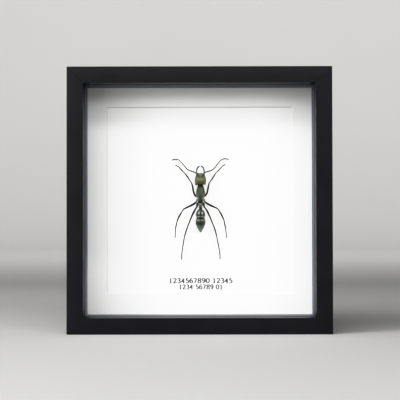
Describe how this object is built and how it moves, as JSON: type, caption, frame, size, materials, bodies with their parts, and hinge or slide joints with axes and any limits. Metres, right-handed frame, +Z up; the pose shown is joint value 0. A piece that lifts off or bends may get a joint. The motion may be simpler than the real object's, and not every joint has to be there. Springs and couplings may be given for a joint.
{
  "type": "framed ant specimen",
  "caption": "Square black box frame with a large forest ant mounted belly down on a white card, inside a bevelled mat window behind glass.",
  "frame": {"origin": "middle of the bottom edge, halfway through the frame's depth, on the surface that the frame stands on", "axes": "-Y is the side that the glass and the ant face, +X is the viewer's right, +Z is up, towards the ant's head"},
  "size_m": [0.125, 0.034, 0.126],
  "materials": {
    "black_paint": "satin black paint on wood",
    "glass": "clear, polished",
    "black_slip": "satin black",
    "mat_board": "matt white",
    "mount_card": "matt white, with two small lines of plain digits in grey",
    "fibreboard": "bare brown fibreboard",
    "tab_steel": "bright zinc plate",
    "hanger_brass": "satin brass plate",
    "ant_olive_cuticle": "satin dried cuticle, olive over black",
    "ant_gaster_cuticle": "glossy dark green-black cuticle",
    "ant_limb_cuticle": "satin black-brown cuticle"
  },
  "bodies": {
    "root": {"frame_rail_top": "black_paint", "frame_rail_bottom": "black_paint", "frame_rail_left": "black_paint", "frame_rail_right": "black_paint", "glass_pane": "glass", "spacer_top": "black_slip", "spacer_bottom": "black_slip", "spacer_left": "black_slip", "spacer_right": "black_slip", "mat_board": "mat_board", "mount_card": "mount_card", "back_board": "fibreboard", "tab_top_a": "tab_steel", "tab_top_b": "tab_steel", "tab_bottom_a": "tab_steel", "tab_bottom_b": "tab_steel", "tab_left_a": "tab_steel", "tab_left_b": "tab_steel", "tab_right_a": "tab_steel", "tab_right_b": "tab_steel", "sawtooth_hanger": "hanger_brass", "hanger_rivet_left": "hanger_brass", "hanger_rivet_right": "hanger_brass", "ant_head": "ant_olive_cuticle", "ant_thorax": "ant_olive_cuticle", "ant_petiole": "ant_olive_cuticle", "ant_gaster": "ant_gaster_cuticle", "ant_mandible_left": "ant_limb_cuticle", "ant_mandible_right": "ant_limb_cuticle", "ant_antenna_left": "ant_limb_cuticle", "ant_antenna_right": "ant_limb_cuticle", "ant_leg_front_left": "ant_limb_cuticle", "ant_leg_front_right": "ant_limb_cuticle", "ant_leg_mid_left": "ant_limb_cuticle", "ant_leg_mid_right": "ant_limb_cuticle", "ant_leg_hind_left": "ant_limb_cuticle", "ant_leg_hind_right": "ant_limb_cuticle"}
  },
  "joints": []
}
